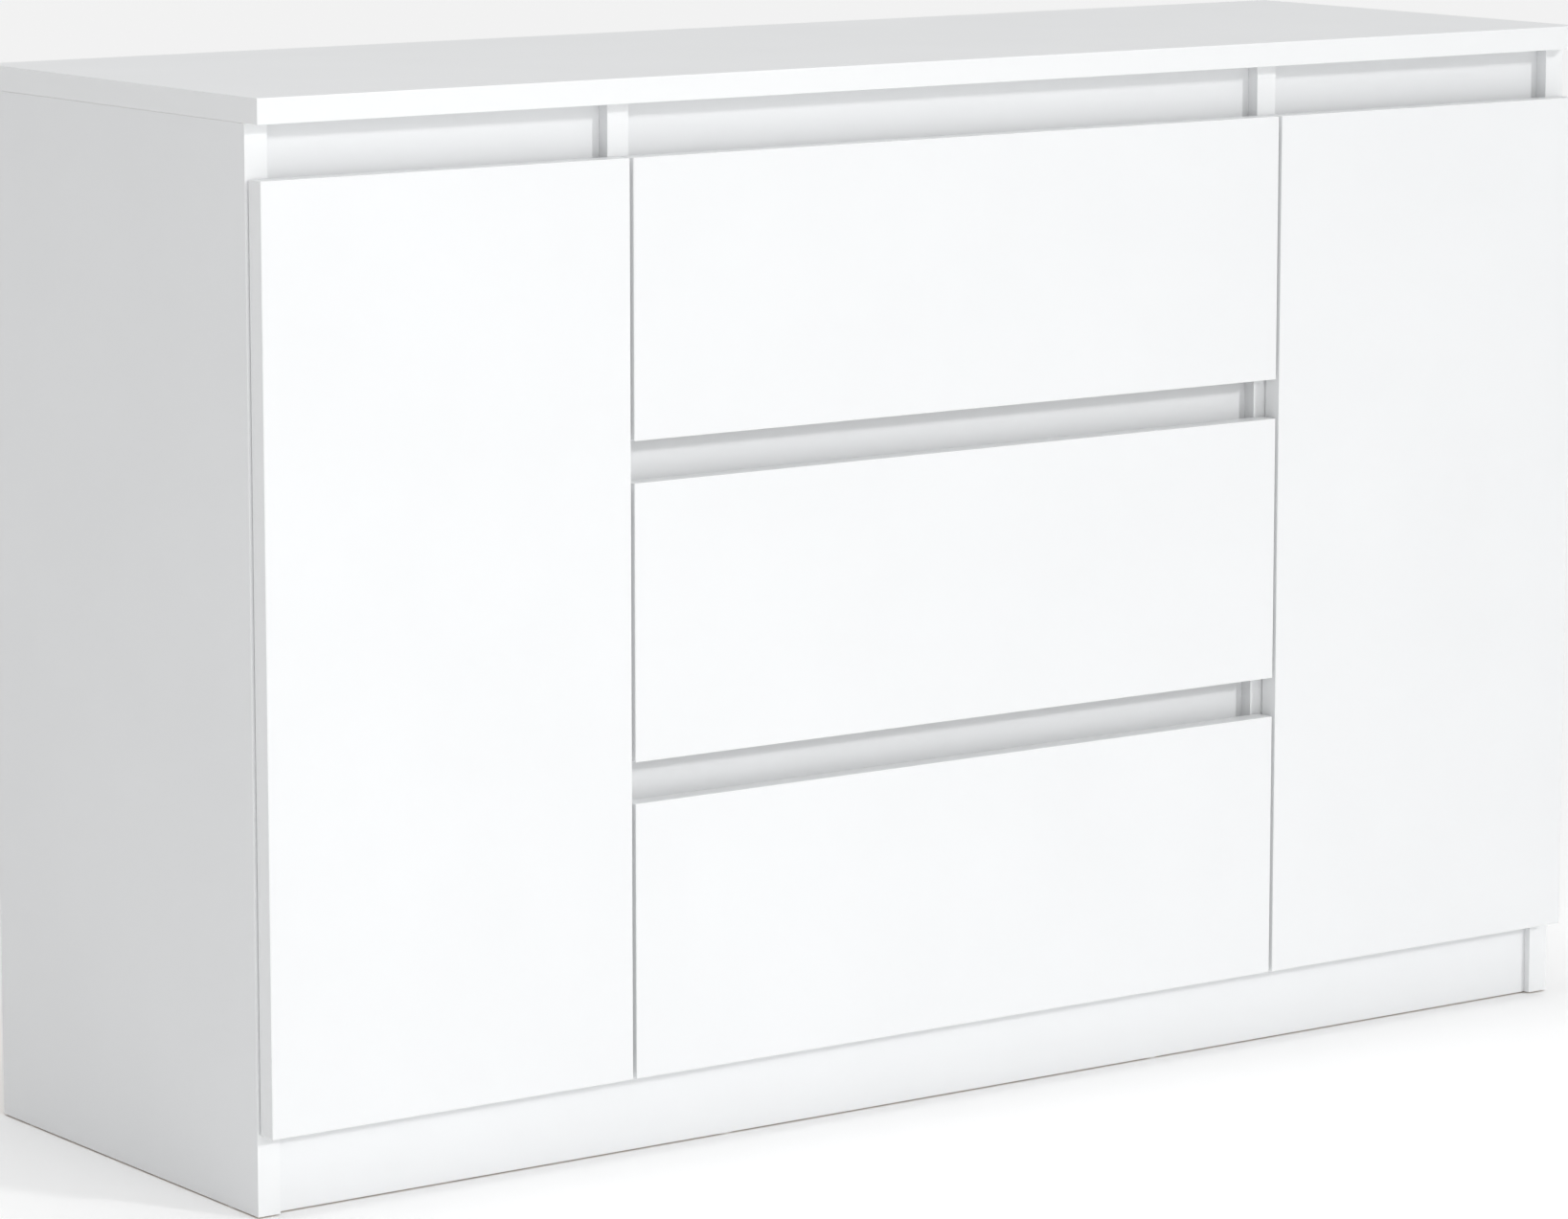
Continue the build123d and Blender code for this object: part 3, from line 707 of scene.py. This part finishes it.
# %% Make the screws
def screw_sizes(head, shank, thickness, length, cross):
    return {**profile(point=(0, -length), tip=(shank, -length + 1.5 * shank), neck=(shank, -thickness),
                      shoulder=(head, -thickness), rim=(head, -0.4 * thickness),
                      crown=(0.8 * head, 0), centre=(0, 0)),
            "cross length": 1.15 * head, "cross width": 0.28 * head, "cross depth": cross}


def centre_sign(box):
    """-1 on the left half of the cabinet and 1 on the right half."""
    return -1 if box[0].x + box[1].x < 0 else 1


for hand in HANDS:
    boxes = solids_of(hand + "_cup_screws")
    places = [(face_point(box, 1, 1), unit(1, 1)) for box in boxes]
    sizes = screw_sizes(3.2, 1.6, 1.0, box_length(boxes[0], 1), 1.2)
    made = run_tree(screw_tree, hand + "_cup_screw_set", places, sizes, nickel, seed=3)
    stand_for(made, hand + "_cup_screws")

boxes = solids_of("hinge_plate_screws")
places = [(face_point(box, 0, -centre_sign(box)), unit(0, -centre_sign(box))) for box in boxes]
made = run_tree(screw_tree, "hinge_plate_screw_set", places,
                screw_sizes(3.5, 2.5, 2.0, box_length(boxes[0], 0), 2.2), nickel, seed=5)
stand_for(made, "hinge_plate_screws")

boxes = solids_of("slide_screws")
places = [(face_point(box, 0, -centre_sign(box)), unit(0, -centre_sign(box))) for box in boxes]
made = run_tree(screw_tree, "slide_screw_set", places,
                screw_sizes(3.2, 1.8, 1.15, box_length(boxes[0], 0), 1.4), screw_zinc, seed=7)
stand_for(made, "slide_screws")
print("slide screws:", len(boxes), "faces:", len(made.data.polygons))

# %% [markdown]
# ## Adjusting screws and runner screws
# A concealed hinge has two screws on its arm: one holds the arm on its plate and one moves the door
# sideways. Each drawer member of a slide is screwed to the drawer's side through its web. Neither kind
# is in the design, so their places are shares of the length of the part that they sit on.

# %% Make the adjusting and runner screws
ARM_SCREW_SHARES = (0.38, 0.74)
ARM_SCREW_STAND = 1.3 * MM
RUNNER_SCREW_SHARES = (0.08, 0.4, 0.9)
RUNNER_WEB = 1.2
RUNNER_HEAD = 1.5
RUNNER_SCREW_LENGTH = 12.0


def along_length(box, point, share):
    """The point, moved along Y to a share of the box's length."""
    return Vector((point.x, box[0].y + share * (box[1].y - box[0].y), point.z))


places = []
for box in solids_of("hinge_arms"):
    way = unit(0, -centre_sign(box))
    outer = face_point(box, 0, -centre_sign(box)) + way * ARM_SCREW_STAND
    places += [(along_length(box, outer, share), way) for share in ARM_SCREW_SHARES]
arm_screw = {**profile(point=(0, -2.6), tip=(1.9, -2.4), neck=(1.9, -1.3), shoulder=(3.4, -1.3),
                       rim=(3.4, -0.3), crown=(3.0, 0), centre=(0, 0)),
             "cross length": 4.4, "cross width": 1.0, "cross depth": 1.6}
made = run_tree(screw_tree, "hinge_adjusting_screws", places, arm_screw, nickel, seed=17)
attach(made, "root")

for level in LEVELS:
    places = []
    for box in solids_of(level + "_slide_runners"):
        way = unit(0, centre_sign(box))
        web = face_point(box, 0, -centre_sign(box)) + way * (RUNNER_WEB + RUNNER_HEAD) * MM
        places += [(along_length(box, web, share), way) for share in RUNNER_SCREW_SHARES]
    made = run_tree(screw_tree, level + "_runner_screws", places,
                    screw_sizes(3.2, 1.7, RUNNER_HEAD, RUNNER_SCREW_LENGTH, 1.4), screw_zinc, seed=19)
    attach(made, body_of_node[level + "_slide_runners"])
print("arm and runner screws made")

# %% [markdown]
# ## Shelf pins, glides and door buffers
# The shelf rests on steel pins with a thicker outer end. Under the cabinet, nylon pads with a peg take
# the weight. On the door's free edge sit two clear gel dots that soften its closing. All are turned
# shapes again, each with its own profile.

# %% Make pins, glides and buffers
boxes = solids_of("shelf_pins")
middle = {-1: 0.0, 1: 0.0}
for sign in middle:
    half = [box for box in boxes if centre_sign(box) == sign]
    middle[sign] = sum((box[0].x + box[1].x) / 2 for box in half) / len(half)
places = []
for box in boxes:
    sign = -1 if (box[0].x + box[1].x) / 2 > middle[centre_sign(box)] else 1
    places.append((face_point(box, 0, sign), unit(0, sign)))
pin_tree = turning_tree("shelf pin", ("point", "tip", "neck", "shoulder", "flare", "rim", "crown", "centre"))
pins = run_tree(pin_tree, "shelf_pin_set", places,
                profile(point=(0, -16), tip=(2.5, -15.4), neck=(2.5, -8), shoulder=(2.9, -8),
                        flare=(3.2, -7.6), rim=(3.2, -0.9), crown=(2.5, -0.1), centre=(0, 0)), nickel)
stand_for(pins, "shelf_pins")

boxes = solids_of("floor_glides")
places = [(face_point(box, 2, -1), unit(2, -1)) for box in boxes]
glide_tree = turning_tree("glide", ("point", "neck", "shoulder", "rim", "crown", "centre"), 32)
glides = run_tree(glide_tree, "floor_glide_set", places,
                  profile(point=(0, -11), neck=(2.5, -11), shoulder=(2.5, -1), rim=(8, -1),
                          crown=(7.6, 0), centre=(0, 0)), nylon)
stand_for(glides, "floor_glides")

dot_tree = turning_tree("buffer", ("centre", "foot", "rim", "crown", "top", "summit"), 28)
for hand in HANDS:
    boxes = solids_of(hand + "_door_bumpers")
    places = [(face_point(box, 1, -1), unit(1, 1)) for box in boxes]
    dots = run_tree(dot_tree, hand + "_door_buffer_set", places,
                    profile(centre=(0, 0), foot=(3, 0), rim=(2.9, 0.35), crown=(2.3, 0.7),
                            top=(1.2, 0.87), summit=(0, 0.9)), buffer_gel)
    stand_for(dots, hand + "_door_bumpers")
print("pins, glides and buffers made")

# %% [markdown]
# ## Cam drums
# Each joint between boards is pulled tight by a cam drum that is turned with a screwdriver. Its face
# lies flush in the board, with a deep cross. The drum's open end is found by looking for the board
# whose face it is flush with.

# %% Make the cam drums
FLUSH = 0.05 * MM
CAM_SET_BACK = 0.1 * MM


def cam_direction(box):
    """The way a drum's face looks: where its end is flush with the face of the board around it."""
    axis = min(range(3), key=lambda k: box[1][k] - box[0][k])
    centre = (box[0] + box[1]) / 2
    for name in board_plan:
        low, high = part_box(name)
        if all(low[k] <= centre[k] <= high[k] for k in range(3)):
            if abs(high[axis] - box[1][axis]) < FLUSH:
                return axis, 1
            if abs(low[axis] - box[0][axis]) < FLUSH:
                return axis, -1
    raise ValueError("no board is flush with this cam")


places = []
for box in solids_of("cam_locks"):
    axis, sign = cam_direction(box)
    places.append((face_point(box, axis, sign) - unit(axis, sign) * CAM_SET_BACK, unit(axis, sign)))
CAM_POINTS = ("centre", "foot", "waist", "collar", "rim", "crown", "summit")
cam_tree = turning_tree("cam drum", CAM_POINTS, 32, "crown")
cams = run_tree(cam_tree, "cam_drum_set", places,
                {**profile(centre=(0, -12.3), foot=(6.9, -12.3), waist=(7.1, -2.2), collar=(7.5, -2.2),
                           rim=(7.5, -0.5), crown=(7.1, 0), summit=(0, 0)),
                 "cross length": 8.4, "cross width": 2.0, "cross depth": 5.0}, cast_zinc, seed=11)
stand_for(cams, "cam_locks")
print("cam drums:", len(places), "faces:", len(cams.data.polygons))

# %% [markdown]
# ## Ball cages
# Between the two rails of a slide runs a thin strip that holds the balls. The node holds both, so the
# short solids are taken out as the balls and the long ones stay as the strip. A tree then puts a
# finer sphere on every ball's middle.

# %% Make the ball cages
BALL_LIMIT = 10  # millimetres: a ball is shorter than this and a strip is longer


def ball_tree():
    tree, given, out = start_tree("bearing balls", ("ball radius",))
    ball = tree_node(tree, "GeometryNodeMeshIcoSphere", {"Subdivisions": 3},
                     {"Radius": given.outputs["ball radius"]})
    placed_on_points(tree, given, ball.outputs["Mesh"], out)
    return tree


balls_tree = ball_tree()
for level in LEVELS:
    node = level + "_ball_retainers"
    balls = [box for box in solids_of(node) if box_length(box, 1) < BALL_LIMIT]
    radius = box_length(balls[0], 2) / 2
    spots = [(box[0] + box[1]) / 2 for box in balls]
    cage = welded_copy(node)
    loose = [vert for group in solids_in(cage) if box_length(box_around(group), 1) < BALL_LIMIT
             for vert in group]
    bmesh.ops.delete(cage, geom=loose, context="VERTS")
    strip = to_object(cage, node + "_strip", [zinc])
    shade_by_angle(strip.data)
    stand_for(strip, node)
    spheres = run_tree(balls_tree, level + "_bearing_balls", [(spot, unit(2, 1)) for spot in spots],
                       {"ball radius": radius}, ball_steel)
    spheres.data.polygons.foreach_set("use_smooth", [True] * len(spheres.data.polygons))
    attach(spheres, body_of_node[node])
print("balls in each drawer's cages:", len(spots))

# %% [markdown]
# ## Pieces that stay as designed
# Cam bolts and dowels are buried in the boards. Their designed shapes are right, so they only get the
# finish: bright steel and beech with its grain along the length.

# %% Finish the hidden fixings
def repaint(node, material):
    piece = nodes[node]
    if not piece.material_slots:
        piece.data.materials.append(material)
    for place in piece.material_slots:
        place.link = "OBJECT"
        place.material = material


repaint("cam_bolts", screw_zinc)
repaint("dowels", beech)

# %% [markdown]
# ## Screws that hold the drawer boxes
# Each drawer box is screwed at its back corners, through the side into the end of the back board. The
# heads stand in the free space between the box and the divider, above the slide.

# %% Make the drawer screws
DRAWER_SCREW_SHARES = (0.55, 0.88)
DRAWER_SCREW_HEAD = 1.2
DRAWER_SCREW_LENGTH = 32
for level in LEVELS:
    low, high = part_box(level + "_drawer_sides")
    back_low, back_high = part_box(level + "_drawer_back")
    y = (back_low.y + back_high.y) / 2
    places = []
    for sign in (-1, 1):
        for share in DRAWER_SCREW_SHARES:
            z = low.z + share * (high.z - low.z)
            places.append((Vector((sign * (high.x + DRAWER_SCREW_HEAD * MM), y, z)), unit(0, sign)))
    made = run_tree(screw_tree, level + "_drawer_screws", places,
                    screw_sizes(3.4, 1.8, DRAWER_SCREW_HEAD, DRAWER_SCREW_LENGTH, 1.3), screw_zinc, seed=13)
    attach(made, body_of_node[level + "_drawer_sides"])
print("drawer screws made")

# %% [markdown]
# ## Floor and light
# The cabinet stands on a plain white floor. The light is that of a product studio: an even white
# surround, a soft distant light from the front right, another from overhead, and a square panel in
# front of the left door. The panel is close, so the fronts fade a little from left to right. The
# floor's own faint glow keeps it from going grey under the cabinet.

# %% Floor and lights
FLOOR_GLOW = 0.05
FLOOR_REACH = 40.0
SURROUND_STRENGTH = 0.48


def make_floor():
    material, shader = new_material("studio_floor", (0.93, 0.93, 0.93), 0.9, specular=0.1)
    shader.inputs["Emission Color"].default_value = (1, 1, 1, 1)
    shader.inputs["Emission Strength"].default_value = FLOOR_GLOW
    mesh = bpy.data.meshes.new("studio_floor")
    corners = [(x * FLOOR_REACH, y * FLOOR_REACH, 0) for x, y in ((-1, -1), (1, -1), (1, 1), (-1, 1))]
    mesh.from_pydata(corners, [], [(0, 1, 2, 3)])
    mesh.materials.append(material)
    floor = bpy.data.objects.new("studio_floor", mesh)
    bpy.context.scene.collection.objects.link(floor)


def make_sun(name, towards, strength, softness):
    """Distant light that shines from the direction towards. softness is its width in degrees."""
    lamp = bpy.data.lights.new(name, "SUN")
    lamp.energy = strength
    lamp.angle = math.radians(softness)
    sun = bpy.data.objects.new(name, lamp)
    sun.rotation_euler = Vector(towards).to_track_quat("Z", "Y").to_euler()
    bpy.context.scene.collection.objects.link(sun)


def make_panel(name, place, power, width):
    """Square soft light that looks at the middle of the cabinet."""
    lamp = bpy.data.lights.new(name, "AREA")
    lamp.energy = power
    lamp.size = width
    panel = bpy.data.objects.new(name, lamp)
    middle = (Vector(cad_box[0]) + Vector(cad_box[1])) / 2
    panel.location = place
    panel.visible_camera = False
    panel.rotation_euler = (Vector(place) - middle).to_track_quat("Z", "Y").to_euler()
    bpy.context.scene.collection.objects.link(panel)


make_floor()
surround = bpy.data.worlds.new("white_surround")
surround.use_nodes = True
surround.node_tree.nodes["Background"].inputs["Color"].default_value = (1, 1, 1, 1)
surround.node_tree.nodes["Background"].inputs["Strength"].default_value = SURROUND_STRENGTH
bpy.context.scene.world = surround
make_sun("front_right_light", (0.55, -1, 0.44), 0.88, 6)
make_sun("overhead_light", (0, 0, 1), 1.05, 30)
make_panel("front_left_panel", (-0.8, -1.9, 1.0), 5.8, 1.0)
bpy.context.scene.view_settings.view_transform = "Standard"
print("studio ready")

# %% [markdown]
# ## Camera
# It stands to the left in front, a little above the top, and looks down a little. The lens is long, so
# upright edges stay nearly parallel.

# %% Camera
LENS_LENGTH = 141.14
LENS_SHIFT = -0.05
CAMERA_PLACE = (-2.7156, -3.7263, 1.1078)
CAMERA_DOWN = math.radians(8.662)
CAMERA_TURN = math.radians(-35.797)

lens = bpy.data.cameras.new("studio_camera")
lens.lens = LENS_LENGTH
lens.shift_y = LENS_SHIFT
lens.clip_end = 100
camera = bpy.data.objects.new("studio_camera", lens)
camera.location = CAMERA_PLACE
camera.rotation_euler = (math.pi / 2 - CAMERA_DOWN, 0, CAMERA_TURN)
bpy.context.scene.collection.objects.link(camera)
bpy.context.scene.camera = camera
print("camera", round(camera.location.length, 2), "m from the cabinet's foot")
